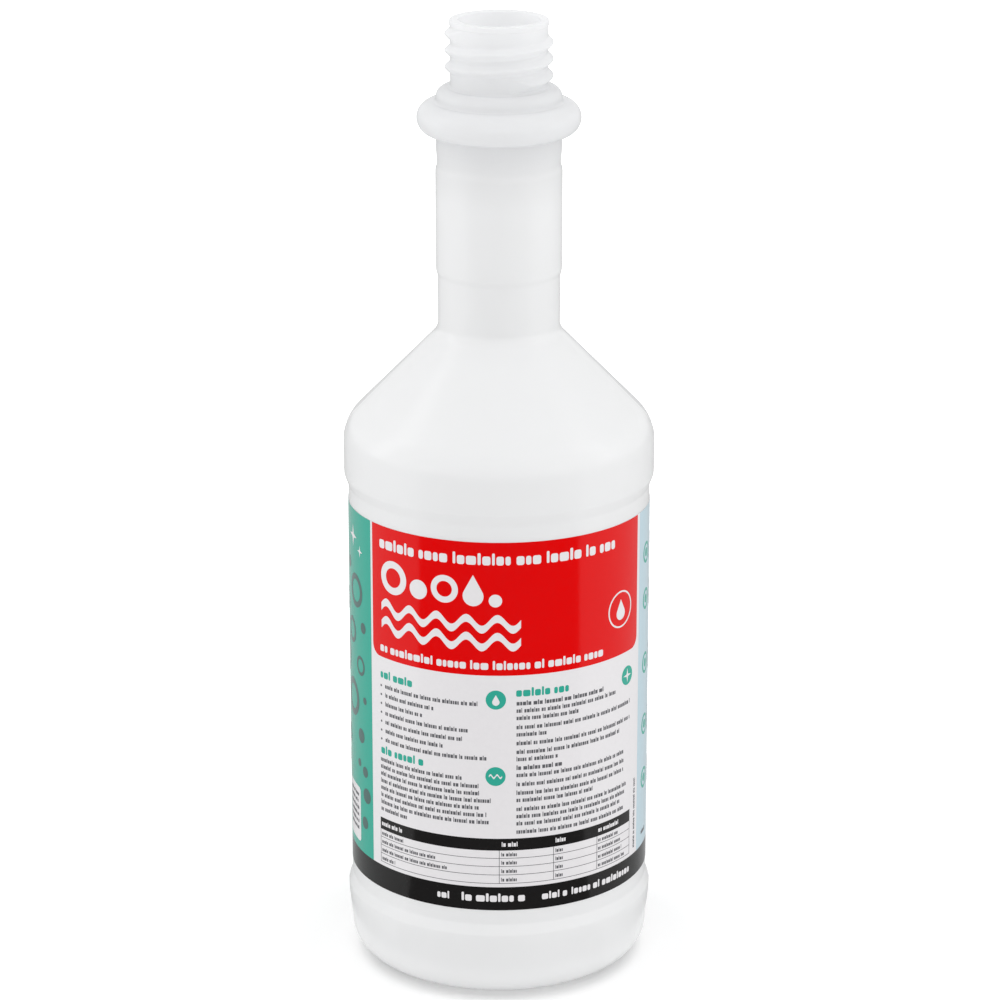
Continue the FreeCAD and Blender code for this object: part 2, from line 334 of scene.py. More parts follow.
# %% The angles at which the line is copied
even_steps = 168
near_parting = [-0.5, -0.3, -0.15, 0, 0.15, 0.3, 0.5]
parting_clearing = 0.75


def turning_angles():
    """Angles round the axis, with more of them beside the parting line."""
    close = [side + offset / belt_radius for side in (0, math.pi) for offset in near_parting]
    even = [2 * math.pi * step / even_steps for step in range(even_steps)]
    too_near = parting_clearing / belt_radius
    clear = [angle for angle in even if abs(math.sin(angle)) > too_near]
    return sorted(angle % (2 * math.pi) for angle in close + clear)


angles = turning_angles()
print(len(angles), "copies of the line")

# %% Where a point of the line goes as it is turned
parting_inside = push_up_radius - 2


def skin_point(point, angle, outside):
    """One point of the skin, in metres, with the thread and the parting line on it."""
    radius, height = point
    if outside and collar_head < height < lip_foot:
        radius += thread(angle, height)
    if outside and radius > parting_inside:
        radius += parting(radius * math.sin(angle), height)
    place = Vector((radius * math.cos(angle), radius * math.sin(angle), height))
    if outside and height == push_up_height:
        place.z -= pinch_depth * math.exp(-(place.y / pinch_width) ** 2)
    return place * MM


print("the rim's middle is at", tuple(round(c, 4) for c in skin_point((0, rim), 0, False)))


# %% Make the skin
def turned_skin(name, line, outside_count):
    """A closed mesh made by turning a line round the upright axis."""
    skin = bmesh.new()
    rows = [
        [skin.verts.new(skin_point(point, angle, number <= outside_count)) for angle in angles]
        for number, point in enumerate(line)
    ]
    for lower, upper in zip(rows, rows[1:]):
        for number in range(len(angles)):
            after = (number + 1) % len(angles)
            skin.faces.new((lower[number], lower[after], upper[after], upper[number]))
    bmesh.ops.remove_doubles(skin, verts=rows[0] + rows[-1], dist=1e-7)
    bmesh.ops.recalc_face_normals(skin, faces=skin.faces)
    mesh = bpy.data.meshes.new(name)
    skin.to_mesh(mesh)
    skin.free()
    mesh.shade_smooth()
    piece = bpy.data.objects.new(name, mesh)
    bpy.context.collection.objects.link(piece)
    return piece


blown_bottle = turned_skin("blown_bottle", whole_line, lip_number)
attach(blown_bottle, "root")
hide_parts("bottle")
print("skin has", len(blown_bottle.data.polygons), "faces")

# %% [markdown]
# ## Milky plastic
#
# Natural polyethylene is a cloudy white that light enters, scatters in and leaves on
# the far side of the wall, with a satin skin that it takes from the mould. Scattering
# under the surface could be worked out in full, but that is slow and noisy on a wall
# as thin as this one. So the skin's shader sends part of the light back and lets the
# rest through. More of it passes on the ring and the neck than lower down. That share
# is set for the look, so that the neck seems lit from inside, and isn't worked out from
# the wall. Because the wall is drawn with both of its sides, the inside of the neck is
# lit through it. The neck is thicker than the rest, which tints the light a little. The
# cloudiness varies with the wall, in broad patches and in faint upright streaks from
# the soft tube that it was blown from. A third, very fine noise gives the satin grain.


# %% A new material
def new_material(name):
    """A material with its nodes, its links and its surface shader."""
    material = bpy.data.materials.new(name)
    material.use_nodes = True
    tree = material.node_tree
    return material, tree.nodes, tree.links, tree.nodes["Principled BSDF"]


print(len(bpy.data.materials), "materials before the first one is made")


# %% Noise, and a number brought into a range
def noise(nodes, links, scale, stretch=(1, 1, 1), detail=2):
    """Noise over the object's own space, in metres, as a number from 0 to 1."""
    place = nodes.new("ShaderNodeTexCoord")
    mapping = nodes.new("ShaderNodeMapping")
    mapping.inputs["Scale"].default_value = stretch
    cloud = nodes.new("ShaderNodeTexNoise")
    cloud.inputs["Scale"].default_value = scale
    cloud.inputs["Detail"].default_value = detail
    links.new(place.outputs["Object"], mapping.inputs["Vector"])
    links.new(mapping.outputs["Vector"], cloud.inputs["Vector"])
    return cloud.outputs["Fac"]


noise_low, noise_high = 0.25, 0.75


def ranged(nodes, links, value, low, high):
    """Noise, which seldom leaves its middle half, brought into a range."""
    node = nodes.new("ShaderNodeMapRange")
    node.inputs["From Min"].default_value = noise_low
    node.inputs["From Max"].default_value = noise_high
    node.inputs["To Min"].default_value = low
    node.inputs["To Max"].default_value = high
    links.new(value, node.inputs["Value"])
    return node.outputs["Result"]


print("noise is taken from %.2f to %.2f" % (noise_low, noise_high))


# %% Two colours mixed, and a bump
def mixed(nodes, links, share, first, second):
    """A colour between two, each a colour or the output of another node."""
    node = nodes.new("ShaderNodeMix")
    node.data_type = "RGBA"
    links.new(share, node.inputs["Factor"])
    for socket, colour in (("A", first), ("B", second)):
        target = [item for item in node.inputs if item.name == socket and item.type == "RGBA"][0]
        if isinstance(colour, tuple):
            target.default_value = (*colour, 1)
        else:
            links.new(colour, target)
    return [item for item in node.outputs if item.type == "RGBA"][0]


def bumped(nodes, links, height, depth, below=None):
    """A bump of a depth in metres, on top of another bump if one is given."""
    node = nodes.new("ShaderNodeBump")
    node.inputs["Strength"].default_value = 1
    node.inputs["Distance"].default_value = depth
    links.new(height, node.inputs["Height"])
    if below:
        links.new(below, node.inputs["Normal"])
    return node.outputs["Normal"]


print("bumps are given in metres, so 0.0001 is", 0.0001 / MM, "mm")


# %% A number that climbs with the height
def height_share(nodes, links, first, last, low, high):
    """A number that goes from low to high between two heights, in metres."""
    place = nodes.new("ShaderNodeTexCoord")
    parts = nodes.new("ShaderNodeSeparateXYZ")
    climb = nodes.new("ShaderNodeMapRange")
    climb.inputs["From Min"].default_value = first
    climb.inputs["From Max"].default_value = last
    climb.inputs["To Min"].default_value = low
    climb.inputs["To Max"].default_value = high
    links.new(place.outputs["Object"], parts.inputs["Vector"])
    links.new(parts.outputs["Z"], climb.inputs["Value"])
    return climb.outputs["Result"]


clearer_from = hand_band_head - 8
print("the wall lets more light through from %.1f to %.1f mm up" % (clearer_from, collar_foot))

# %% The plastic
thicker, thinner = (0.915, 0.92, 0.925), (0.945, 0.95, 0.955)
thin_wall, thick_wall = (0.975, 0.975, 0.975), (0.93, 0.932, 0.938)
through_body, through_neck = 0.17, 0.50
patch_scale, streak_scale, grain_scale = 28, 160, 2600
patch_depth, streak_depth, grain_depth = 0.0004, 0.00003, 0.000008


def satin_skin(nodes, links, shader):
    """The skin that sends light back: cloudy white with a satin grain."""
    patches = noise(nodes, links, patch_scale, detail=3)
    streaks = noise(nodes, links, streak_scale, stretch=(1, 1, 0.06))
    grain = noise(nodes, links, grain_scale)
    links.new(mixed(nodes, links, patches, thicker, thinner), shader.inputs["Base Color"])
    links.new(ranged(nodes, links, grain, 0.16, 0.21), shader.inputs["Roughness"])
    waves = bumped(nodes, links, patches, patch_depth)
    drawn = bumped(nodes, links, streaks, streak_depth, waves)
    links.new(bumped(nodes, links, grain, grain_depth, drawn), shader.inputs["Normal"])
    shader.inputs["IOR"].default_value = 1.53
    shader.inputs["Specular IOR Level"].default_value = 0.45


def milky_plastic():
    """Cloudy white polyethylene with a satin skin, which lets light through."""
    material, nodes, links, shader = new_material("milky_plastic")
    satin_skin(nodes, links, shader)
    foot, head = clearer_from * MM, collar_foot * MM
    through = nodes.new("ShaderNodeBsdfTranslucent")
    thickness = height_share(nodes, links, hand_band_head * MM, head, 0, 1)
    links.new(mixed(nodes, links, thickness, thin_wall, thick_wall), through.inputs["Color"])
    both = nodes.new("ShaderNodeMixShader")
    share = height_share(nodes, links, foot, head, through_body, through_neck)
    links.new(share, both.inputs["Fac"])
    links.new(shader.outputs["BSDF"], both.inputs[1])
    links.new(through.outputs["BSDF"], both.inputs[2])
    links.new(both.outputs["Shader"], nodes["Material Output"].inputs["Surface"])
    return material


blown_bottle.data.materials.append(milky_plastic())
print("materials on the bottle:", [slot.name for slot in blown_bottle.material_slots])

# %% [markdown]
# ## The film and its printing
#
# The label is one piece of film, a tenth of a millimetre thick, glued round the panel
# with a narrow gap at the back. Printing is easiest to lay out flat, so every shape is
# drawn as the printer would see it: how far along the film from the middle of the
# front, and how far up. One function cuts such flat shapes out of a thin sheet and
# bends them round the bottle. A layer of ink is really far thinner than it is here,
# but thirty micrometres keep the layers apart in any viewer.

# %% Flat shapes cut into strips
ink_thickness = 0.03
film_thickness = 0.12
strip_width = 1.5


def flat_sheet(shapes):
    """Flat shapes, each a list of (along, up), cut into narrow upright strips."""
    sheet = bmesh.new()
    for shape in shapes:
        sheet.faces.new([sheet.verts.new((along, 0, up)) for along, up in shape])
    bmesh.ops.remove_doubles(sheet, verts=sheet.verts, dist=1e-5)
    reach = [corner.co.x for corner in sheet.verts]
    first, last = math.ceil(min(reach) / strip_width), math.floor(max(reach) / strip_width)
    for cut in range(first, last + 1):
        everything = sheet.verts[:] + sheet.edges[:] + sheet.faces[:]
        bmesh.ops.bisect_plane(sheet, geom=everything, dist=1e-6,
                               plane_co=(cut * strip_width, 0, 0), plane_no=(1, 0, 0))
    return sheet


print("strips of %.1f mm, ink %.2f mm thick" % (strip_width, ink_thickness))


# %% A point and its shading, bent round the bottle
def bent_place(flat, inside):
    """Where a point of the flat sheet comes to lie: its y is the depth in the film."""
    angle = flat.x / film_outside
    radius = inside + flat.y
    return Vector((radius * math.sin(angle), -radius * math.cos(angle), flat.z)) * MM


def smooth_round(mesh):
    """Shade the faces that look outwards or inwards as parts of one true cylinder."""
    mesh.shade_smooth()
    normals = []
    for face in mesh.polygons:
        for corner in face.vertices:
            outwards = mesh.vertices[corner].co.copy()
            outwards.z = 0
            outwards.normalize()
            facing = face.normal.dot(outwards)
            normals.append(outwards * math.copysign(1, facing) if abs(facing) > 0.9
                           else face.normal.copy())
    mesh.normals_split_custom_set(normals)


print("front of the film at", tuple(round(c, 4) for c in bent_place(Vector(), film_outside)))


# %% Wrapping: cut, thicken, bend and shade
def wrap(name, shapes, inside, thickness, material):
    """A closed sheet of flat shapes, bent round the bottle and given its material."""
    sheet = flat_sheet(shapes)
    copied = bmesh.ops.extrude_face_region(sheet, geom=sheet.faces[:], use_keep_orig=True)
    for item in copied["geom"]:
        if isinstance(item, bmesh.types.BMVert):
            item.co.y = thickness
    for corner in sheet.verts:
        corner.co = bent_place(corner.co, inside)
    bmesh.ops.recalc_face_normals(sheet, faces=sheet.faces)
    mesh = bpy.data.meshes.new(name)
    sheet.to_mesh(mesh)
    sheet.free()
    smooth_round(mesh)
    piece = bpy.data.objects.new(name, mesh)
    bpy.context.collection.objects.link(piece)
    mesh.materials.append(material)
    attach(piece, "root")
    return piece


# %% [markdown]
# ## Inks and film
#
# The film is white and glossy, and the inks on it shine as much as it does. Up close
# a print isn't even: the ink lies a little thicker here and there, and the film
# follows the glue under it in very slight waves, which is what breaks up the
# reflections of the lamps. Colours are written as a printer's 0 to 255 values and
# changed to the linear light that the shader works with.


# %% Printed values as linear light
def linear(red, green, blue):
    """Linear light from printed values between 0 and 255."""
    shares = [value / 255 for value in (red, green, blue)]
    return tuple(s / 12.92 if s <= 0.04045 else ((s + 0.055) / 1.055) ** 2.4 for s in shares)


print("half of full print is %.3f of the light" % linear(128, 128, 128)[0])

# %% The finish of the film, and its inks
mottle_scale, glue_scale = 900, 55
glue_depth = 0.00006


def printed_film(name, red, green, blue):
    """Glossy film with one ink, slightly uneven, and the waves of the glue below."""
    material, nodes, links, shader = new_material(name)
    colour = linear(red, green, blue)
    thin = tuple(0.95 * value + 0.001 for value in colour)
    mottle = noise(nodes, links, mottle_scale, detail=3)
    links.new(mixed(nodes, links, mottle, colour, thin), shader.inputs["Base Color"])
    links.new(ranged(nodes, links, mottle, 0.11, 0.15), shader.inputs["Roughness"])
    glue = noise(nodes, links, glue_scale, stretch=(1, 1, 0.6))
    links.new(bumped(nodes, links, glue, glue_depth), shader.inputs["Normal"])
    shader.inputs["IOR"].default_value = 1.4
    return material


white_film = printed_film("white_film", 231, 229, 231)
red_ink = printed_film("red_ink", 224, 0, 1)
teal_ink = printed_film("teal_ink", 52, 168, 148)
pale_ink = printed_film("pale_ink", 190, 213, 223)
black_ink = printed_film("black_ink", 30, 29, 29)
grey_ink = printed_film("grey_ink", 96, 96, 100)
shade_ink = printed_film("shade_ink", 72, 104, 100)
print("inks:", [m.name for m in bpy.data.materials if "ink" in m.name or "film" in m.name])

# %% [markdown]
# ## The film itself and its fields of colour
#
# The film is cut first, with the gap at the back. The front is a white panel with a
# red block across its top. On its left a teal panel runs round to the gap, on its
# right a pale blue one does, and a black band runs right round the foot. Thin lines
# of bare white film part them.


# %% Flat shapes
def box(left, right, foot, head):
    """A rectangle."""
    return [(left, foot), (right, foot), (right, head), (left, head)]


def arc(along, up, radius, first, last, steps):
    """Points on an arc, at angles in degrees from the way that runs along the film."""
    turns = [math.radians(first + (last - first) * step / steps) for step in range(steps + 1)]
    return [(along + radius * math.cos(turn), up + radius * math.sin(turn)) for turn in turns]


def rounded_box(left, right, foot, head, radius, steps=6):
    """A rectangle with all its corners rounded."""
    return (arc(left + radius, foot + radius, radius, 180, 270, steps)
            + arc(right - radius, foot + radius, radius, 270, 360, steps)
            + arc(right - radius, head - radius, radius, 0, 90, steps)
            + arc(left + radius, head - radius, radius, 90, 180, steps))


def disc(along, up, radius, steps=40):
    """A round shape."""
    return arc(along, up, radius, 0, 360, steps)[:-1]


def ring(along, up, radius, line, steps=48):
    """A thin ring, as short straight pieces."""
    outer = arc(along, up, radius, 0, 360, steps)
    inner = arc(along, up, radius - line, 0, 360, steps)
    return [[outer[i], outer[i + 1], inner[i + 1], inner[i]] for i in range(steps)]


print(len(disc(0, 0, 1)), "corners on a disc,", len(ring(0, 0, 1, 0.2)), "pieces in a ring")

# %% The film
half_way = math.pi * film_outside
gap = 3.0
film_left, film_right = gap / 2 - half_way, half_way - gap / 2

label_film = wrap("label_film", [box(film_left, film_right, film_foot, film_head)],
                  film_outside - film_thickness, film_thickness, white_film)
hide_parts("label")
print("film", round(film_right - film_left, 1), "mm long round the bottle")

# %% Its fields of colour
front_left, front_right = -38.2, 44.7
teal_edge, pale_edge = -39.1, 46.2
footer_head = 32.1
red_foot = 90.6
sunk_in_film = 0.01

on_film = film_outside - sunk_in_film
on_ink = on_film + ink_thickness
on_marks = on_ink + ink_thickness

wrap("teal_panel", [box(film_left, teal_edge, footer_head, film_head)],
     on_film, ink_thickness, teal_ink)
wrap("pale_panel", [box(pale_edge, film_right, footer_head, film_head)],
     on_film, ink_thickness, pale_ink)
wrap("black_band", [box(film_left, film_right, film_foot, footer_head)],
     on_film, ink_thickness, black_ink)

red_corner = 3.0
red_shape = (arc(front_left + red_corner, red_foot + red_corner, red_corner, 180, 270, 8)
             + arc(front_right - red_corner, red_foot + red_corner, red_corner, 270, 360, 8)
             + [(front_right, film_head), (front_left, film_head)])
wrap("red_block", [red_shape], on_film, ink_thickness, red_ink)
print("white front panel", round(front_right - front_left, 1), "mm wide")

# %% [markdown]
# ## Rows of print
#
# A reader a step away sees print as rows of dark specks with gaps between the words.
# These rows do the same with plain blocks and no letters: blocks of several widths in
# groups of a few, with a narrow tall one here and there. The lists of widths and of
# group lengths are walked through in turn, and each row starts further along them than
# the row above, so neighbours differ and every run is the same. Sizes in the lists are
# shares of a block's plain height. Only the larger rows have rounded corners, because
# on the small ones nobody could see them.

# %% Rows of blocks in place of words
block_widths = [0.86, 0.58, 0.92, 0.30, 0.84, 1.10, 0.34, 0.88, 0.30, 0.80, 0.56]
group_lengths = [5, 3, 7, 2, 6, 4, 8, 3, 5, 2, 9]
tall_width = 0.35
tall_height = 1.36
between_blocks = 0.17
between_groups = 0.46
rounded_from = 1.4
print(len(block_widths), "widths and", len(group_lengths), "group lengths")


# %% Making the rows
def one_block(left, right, foot, head, tall):
    """A block, with rounded corners if its row is a large one."""
    if tall < rounded_from:
        return box(left, right, foot, head)
    return rounded_box(left, right, foot, head, min(0.24 * tall, 0.45 * (right - left)), 3)


def row_of_blocks(left, right, foot, tall, start=0, weight=1.0):
    """Blocks in groups from left to right, standing on a line at the foot."""
    blocks = []
    along, number, group = left, start, start
    left_in_group = group_lengths[group % len(group_lengths)]
    while True:
        share = block_widths[number % len(block_widths)]
        width = share * tall * weight
        if along + width > right:
            return blocks
        height = tall * (tall_height if share < tall_width else 1)
        blocks.append(one_block(along, along + width, foot, foot + height, tall))
        along += width + between_blocks * tall
        number += 1
        left_in_group -= 1
        if left_in_group == 0:
            along += between_groups * tall
            group += 1
            left_in_group = group_lengths[group % len(group_lengths)]


def rows(placed, tall, weight=1.0):
    """Several rows, each given as (left, right, foot)."""
    found = []
    for number, (left, right, foot) in enumerate(placed):
        found += row_of_blocks(left, right, foot, tall, start=3 * number, weight=weight)
    return found


print(len(row_of_blocks(0, 30, 0, 0.9)), "blocks in 30 mm of small print")

# %% [markdown]
# ## The red block
#
# The red block carries a heading, a large device and a smaller line, all in white,
# and a ring at its right. The large device here is a row of bubbles over a row of
# waves, which says cleaning without a word.


# %% Bubbles, waves, drops and stars
def drop(along, up, radius, steps=14):
    """A drop of liquid: a round foot that draws up to a point."""
    return arc(along, up, radius, -215, 35, steps) + [(along, up + 2.1 * radius)]


def star(along, up, reach):
    """A gleam with four points."""
    near = 0.26 * reach
    corners = []
    for quarter in range(4):
        angle = math.radians(90 * quarter)
        between = angle + math.radians(45)
        corners.append((along + reach * math.cos(angle), up + reach * math.sin(angle)))
        corners.append((along + near * math.cos(between), up + near * math.sin(between)))
    return corners


def wave(left, right, middle, rise, line, crests, steps_each=16):
    """A thick wavy line, as short straight pieces."""
    count = crests * steps_each
    points = []
    for step in range(count + 1):
        along = left + (right - left) * step / count
        points.append((along, middle + rise * math.sin(2 * math.pi * crests * step / count)))
    half = line / 2
    return [[(a, b - half), (c, d - half), (c, d + half), (a, b + half)]
            for (a, b), (c, d) in zip(points, points[1:])]


print(len(drop(0, 0, 1)), "corners on a drop,", len(star(0, 0, 1)), "on a gleam")

# %% White on red
heading = row_of_blocks(-34.9, 33.8, 120.3, 2.35, start=4)
small_heading = row_of_blocks(-34.9, 29.6, 92.2, 1.8, start=9)
bubble_middle = 113.2
bubbles = [
    *ring(-29.8, bubble_middle, 4.5, 1.9),
    disc(-21.6, bubble_middle - 1.3, 2.6),
    *ring(-14.2, bubble_middle, 3.7, 1.6),
    drop(-6.6, bubble_middle - 1.3, 2.7),
    disc(-0.9, bubble_middle - 2.4, 1.7),
]
waves = wave(-34.3, 5.6, 104.5, 1.5, 2.1, 5) + wave(-34.3, 5.6, 99.7, 1.5, 2.1, 5)
white_ring = ring(36.2, 103.1, 5.0, 0.45) + [drop(36.2, 102.0, 1.8)]
white_shapes = heading + small_heading + bubbles + waves + white_ring
wrap("white_print", white_shapes, on_ink, ink_thickness, white_film)
print(len(white_shapes), "white shapes on the red block")

# %% [markdown]
# ## The white panel
#
# Below the red block two columns of small print stand over a table. Each column has
# teal headings and teal discs with a small white device.

# %% Columns of small print
small_tall, small_weight = 0.92, 0.68
left_list = [(-33.2, -5.2), (-33.2, -17.2), (-33.2, -20.5), (-33.2, -7.7), (-33.2, -9.3),
             (-33.2, -14.4), (-33.2, -3.0)]
left_text = [-9.4, -5.2, -4.3, -1.4, -4.8, -2.7, -2.2, -25.6]
list_head, list_pitch = 82.2, 2.47
text_head, text_pitch = 61.6, 1.98

left_rows = [(left, right, list_head - list_pitch * number)
             for number, (left, right) in enumerate(left_list)]
left_rows += [(-35.2, right, text_head - text_pitch * number)
              for number, right in enumerate(left_text)]
right_rows = [(4.5, 34.5, 80.4), (4.5, 21.7, 78.4), (4.5, 41.2, 75.9), (4.5, 12.7, 73.9),
              (4.5, 41.2, 71.5), (4.5, 36.4, 69.1), (4.5, 15.8, 67.1), (4.5, 38.0, 62.7),
              (4.5, 38.5, 60.2), (4.5, 38.3, 57.8), (4.5, 26.3, 55.8), (4.5, 39.4, 53.3),
              (4.5, 39.4, 51.3), (4.5, 36.8, 49.3), (4.5, 38.2, 47.0)]
bullets = [disc(-34.8, foot + 0.45, 0.32, 12) for left, right, foot in left_rows[:len(left_list)]]
small_print = rows(left_rows + right_rows, small_tall, small_weight) + bullets
bold_print = rows([(4.5, 30.5, 82.4), (4.5, 16.9, 64.7)], 0.95, 0.95)
wrap("small_print", small_print + bold_print, on_film, ink_thickness, grey_ink)
print(len(small_print), "blocks and bullets of small print")

# %% Headings and discs in teal
heading_tall = 1.75
teal_headings = (row_of_blocks(-35.0, -23.2, 84.8, heading_tall, 1)
                 + row_of_blocks(4.4, 20.0, 84.8, heading_tall, 4)
                 + row_of_blocks(-35.0, -18.5, 63.8, heading_tall, 7))
discs = [(-0.8, 84.0), (39.6, 83.9), (-0.9, 63.0)]
wrap("teal_print", teal_headings + [disc(along, up, 2.6) for along, up in discs],
     on_film, ink_thickness, teal_ink)
disc_marks = [drop(-0.8, 83.4, 0.95), star(39.6, 83.9, 1.9)]
disc_marks += wave(-2.6, 0.8, 63.0, 0.45, 0.5, 2, 10)
wrap("disc_marks", disc_marks, on_ink, ink_thickness, white_film)
print(len(discs), "discs")

# %% The table
table_left, table_right = -35.6, 41.6
header_foot, header_head = 42.4, 45.7
row_feet = [40.15, 37.85, 35.5, 33.1]
columns = [0.0, 14.4, 27.7]
first_words = [8.6, 18.2, 21.4, 5.4]
rule = 0.14
table_lines = [box(table_left, table_right, up, up + rule) for up in row_feet]
table_lines += [box(along, along + rule, row_feet[-1], header_foot)
                for along in [table_left] + columns + [table_right - rule]]
table_words = []
for number, foot in enumerate(row_feet):
    first_end = -35.0 + first_words[number]
    starts = [(-35.0, first_end), (0.6, 5.2), (15.0, 17.6), (28.2, 36.0 + number)]
    table_words += rows([(a, b, foot + 0.62) for a, b in starts], 0.78, small_weight)
wrap("table_lines", table_lines + table_words, on_film, ink_thickness, grey_ink)
wrap("table_header", [box(table_left, table_right, header_foot, header_head)],
     on_film, ink_thickness, black_ink)
print(len(table_words), "blocks in the table")

# %% White on the table's header and on the black band
header_words = rows([(-35.0, -27.2, 43.5), (0.7, 5.4, 43.5), (15.0, 18.6, 43.5),
                     (28.2, 36.8, 43.5)], 0.95, 0.8)
footer_words = (row_of_blocks(-16.5, -11.2, 28.0, 1.55, 1)
                + row_of_blocks(-9.8, 7.5, 28.0, 1.75, 3, 1.2)
                + row_of_blocks(11.3, 18.4, 28.0, 1.55, 5)
                + row_of_blocks(19.7, 42.6, 28.0, 1.55, 8))
wrap("header_print", header_words + footer_words, on_ink, ink_thickness, white_film)
print(len(header_words), "blocks in the header,", len(footer_words), "in the band")


# %% The upright line of print beside the table
def stood_up(shape, along, foot):
    """A shape of a row that starts at 0, 0, turned to read upwards."""
    return [(along - up, foot + across) for across, up in shape]


upright = [stood_up(shape, 45.0 - 0.35, 33.8)
           for shape in row_of_blocks(0, 20.2, 0, 0.8, 2, small_weight)]
wrap("upright_print", upright, on_film, ink_thickness, grey_ink)
print(len(upright), "blocks in the upright line")

# %% [markdown]
# ## The side panels
#
# The teal panel on the left is a picture of bubbles rising, in a darker ink, with a
# plain white plate low down. The pale panel on the right has a column of round
# devices with rows of small print beside them.

# %% Teal panel
bubble_rings = [(-48.5, 104.5, 4.6), (-52.5, 92.5, 3.6), (-45.6, 84.5, 2.7), (-52.0, 74.0, 5.2),
                (-59.5, 99.0, 3.0), (-61.0, 84.0, 5.6), (-66.5, 69.0, 4.0), (-58.0, 61.5, 2.6)]
bubble_discs = [(-43.6, 95.5, 1.5), (-43.0, 75.5, 1.0), (-45.5, 65.0, 2.0), (-43.2, 55.5, 1.5),
                (-42.4, 49.0, 2.1), (-47.0, 57.0, 1.1), (-43.6, 41.0, 1.7), (-62.0, 54.0, 1.8),
                (-68.0, 58.0, 1.4), (-69.0, 83.0, 2.0), (-55.0, 110.5, 1.6)]
bubble_shapes = [disc(a, b, r) for a, b, r in bubble_discs]
for along, up, radius in bubble_rings:
    bubble_shapes += ring(along, up, radius, 0.34 * radius)
wrap("rising_bubbles", bubble_shapes, on_ink, ink_thickness, shade_ink)
name_plate = rounded_box(-57.0, -46.6, 34.4, 49.7, 1.2)
gleams = [star(-50.5, 119.0, 3.0), star(-45.3, 116.0, 1.6)]
wrap("white_plate", [name_plate] + gleams, on_ink, ink_thickness, white_film)
plate_rows = [(-55.8, -47.8, 47.0 - 1.9 * number) for number in range(6)]
plate_print = rows(plate_rows, 0.8, small_weight)
wrap("plate_print", plate_print, on_marks, ink_thickness, grey_ink)
print(len(bubble_rings) + len(bubble_discs), "bubbles")

# %% Pale panel
device_heights = [113.8, 101.0, 83.2, 66.0, 50.8]
devices, side_rows = [], []
for number, up in enumerate(device_heights):
    devices += ring(52.3, up, 2.9, 0.75)
    devices.append(disc(52.3, up, 1.2))
    for line_number in range(4):
        row_end = 96.0 - 7 * ((number + line_number) % 3)
        side_rows.append((58.0, row_end, up + 2.0 - 1.9 * line_number))
wrap("side_devices", devices, on_ink, ink_thickness, teal_ink)
side_print = rows(side_rows, small_tall, small_weight) + row_of_blocks(50.0, 54.5, 35.2, 0.9, 2)
wrap("side_print", side_print, on_ink, ink_thickness, grey_ink)
print(len(device_heights), "round devices")

# %% [markdown]
# ## The studio
#
# A bottle like this is shown on a white sheet, in a white room. The room glows white
# to the camera and in reflections, and less so as a lamp, which leaves the shading to
# six soft lamps: two at each side, one in front and one above. Of the two at a side
# the tall narrow one is mirrored and the wider one behind it isn't, because a mirrored
# lamp of the full strength would draw a hard streak down the satin shoulder.
#
# The sheet glows as well, so that it comes out plain white. Nearer the bottle it glows
# less, so that the cast shadow isn't washed out, and least close to the foot, where
# the lowered glow is a painted shadow that deepens the cast one. This painted shadow is
# fixed to the sheet: its middle is shadow_centre, and it doesn't follow the lamps. Two
# mats lie on the sheet and are seen in reflections only. The upright walls of the
# bottle mirror the table, not the room, and the mats keep that mirror image calm: a
# dark one in front, which leaves the middle of the label at its full strength of
# colour, and a grey one round the rest.


# %% Strength by kind of ray
def seen_strength(nodes, links, seen, otherwise):
    """One strength for camera, mirror and see-through rays, another for the rest."""
    path = nodes.new("ShaderNodeLightPath")
    total = path.outputs["Is Camera Ray"]
    for kind in ("Is Glossy Ray", "Is Transmission Ray"):
        either = nodes.new("ShaderNodeMath")
        either.operation = "MAXIMUM"
        links.new(total, either.inputs[0])
        links.new(path.outputs[kind], either.inputs[1])
        total = either.outputs["Value"]
    scale = nodes.new("ShaderNodeMapRange")
    scale.inputs["To Min"].default_value = otherwise
    if isinstance(seen, float):
        scale.inputs["To Max"].default_value = seen
    else:
        links.new(seen, scale.inputs["To Max"])
    links.new(total, scale.inputs["Value"])
    return scale.outputs["Result"]


room_seen, room_light = 1.0, 0.79
sheet_light = 0.18
print("the room is seen at %.2f and gives light at %.2f" % (room_seen, room_light))

# %% How the sheet glows, and the painted shadow round the foot
# shadow_centre is the middle of the painted shadow in the sheet's glow.
shadow_centre = (0, -0.0035, 0)


def away_from_bottle(nodes, links, near, far, first, last):
    """A number that grows from near to far between two distances, in metres."""
    place = nodes.new("ShaderNodeTexCoord")
    distance = nodes.new("ShaderNodeVectorMath")
    distance.operation = "DISTANCE"
    distance.inputs[1].default_value = shadow_centre
    grows = nodes.new("ShaderNodeMapRange")
    grows.inputs["From Min"].default_value = first
    grows.inputs["From Max"].default_value = last
    grows.inputs["To Min"].default_value = near
    grows.inputs["To Max"].default_value = far
    links.new(place.outputs["Object"], distance.inputs[0])
    links.new(distance.outputs["Value"], grows.inputs["Value"])
    return grows.outputs["Result"]


def added(nodes, links, first, second):
    """The sum of two numbers."""
    node = nodes.new("ShaderNodeMath")
    node.operation = "ADD"
    links.new(first, node.inputs[0])
    links.new(second, node.inputs[1])
    return node.outputs["Value"]


def glow_and_painted_shadow(nodes, links):
    """Least beside the foot, where the lowered glow paints a shadow, and most far out on the
    sheet.
    """
    # Under and beside the foot the glow is lowered: a painted shadow, added to the cast one.
    painted_shadow_under_foot = away_from_bottle(nodes, links, 0.15, 0, 0.0303, 0.0328)
    painted_shadow_beside_foot = away_from_bottle(nodes, links, 0.085, 0.25, 0.035, 0.0387)
    far_out = away_from_bottle(nodes, links, 0, 0.43, 0.05, 0.16)
    return added(nodes, links, added(nodes, links, painted_shadow_under_foot, painted_shadow_beside_foot), far_out)


print("the shadow lies", -shadow_centre[1] / MM, "mm towards the front")


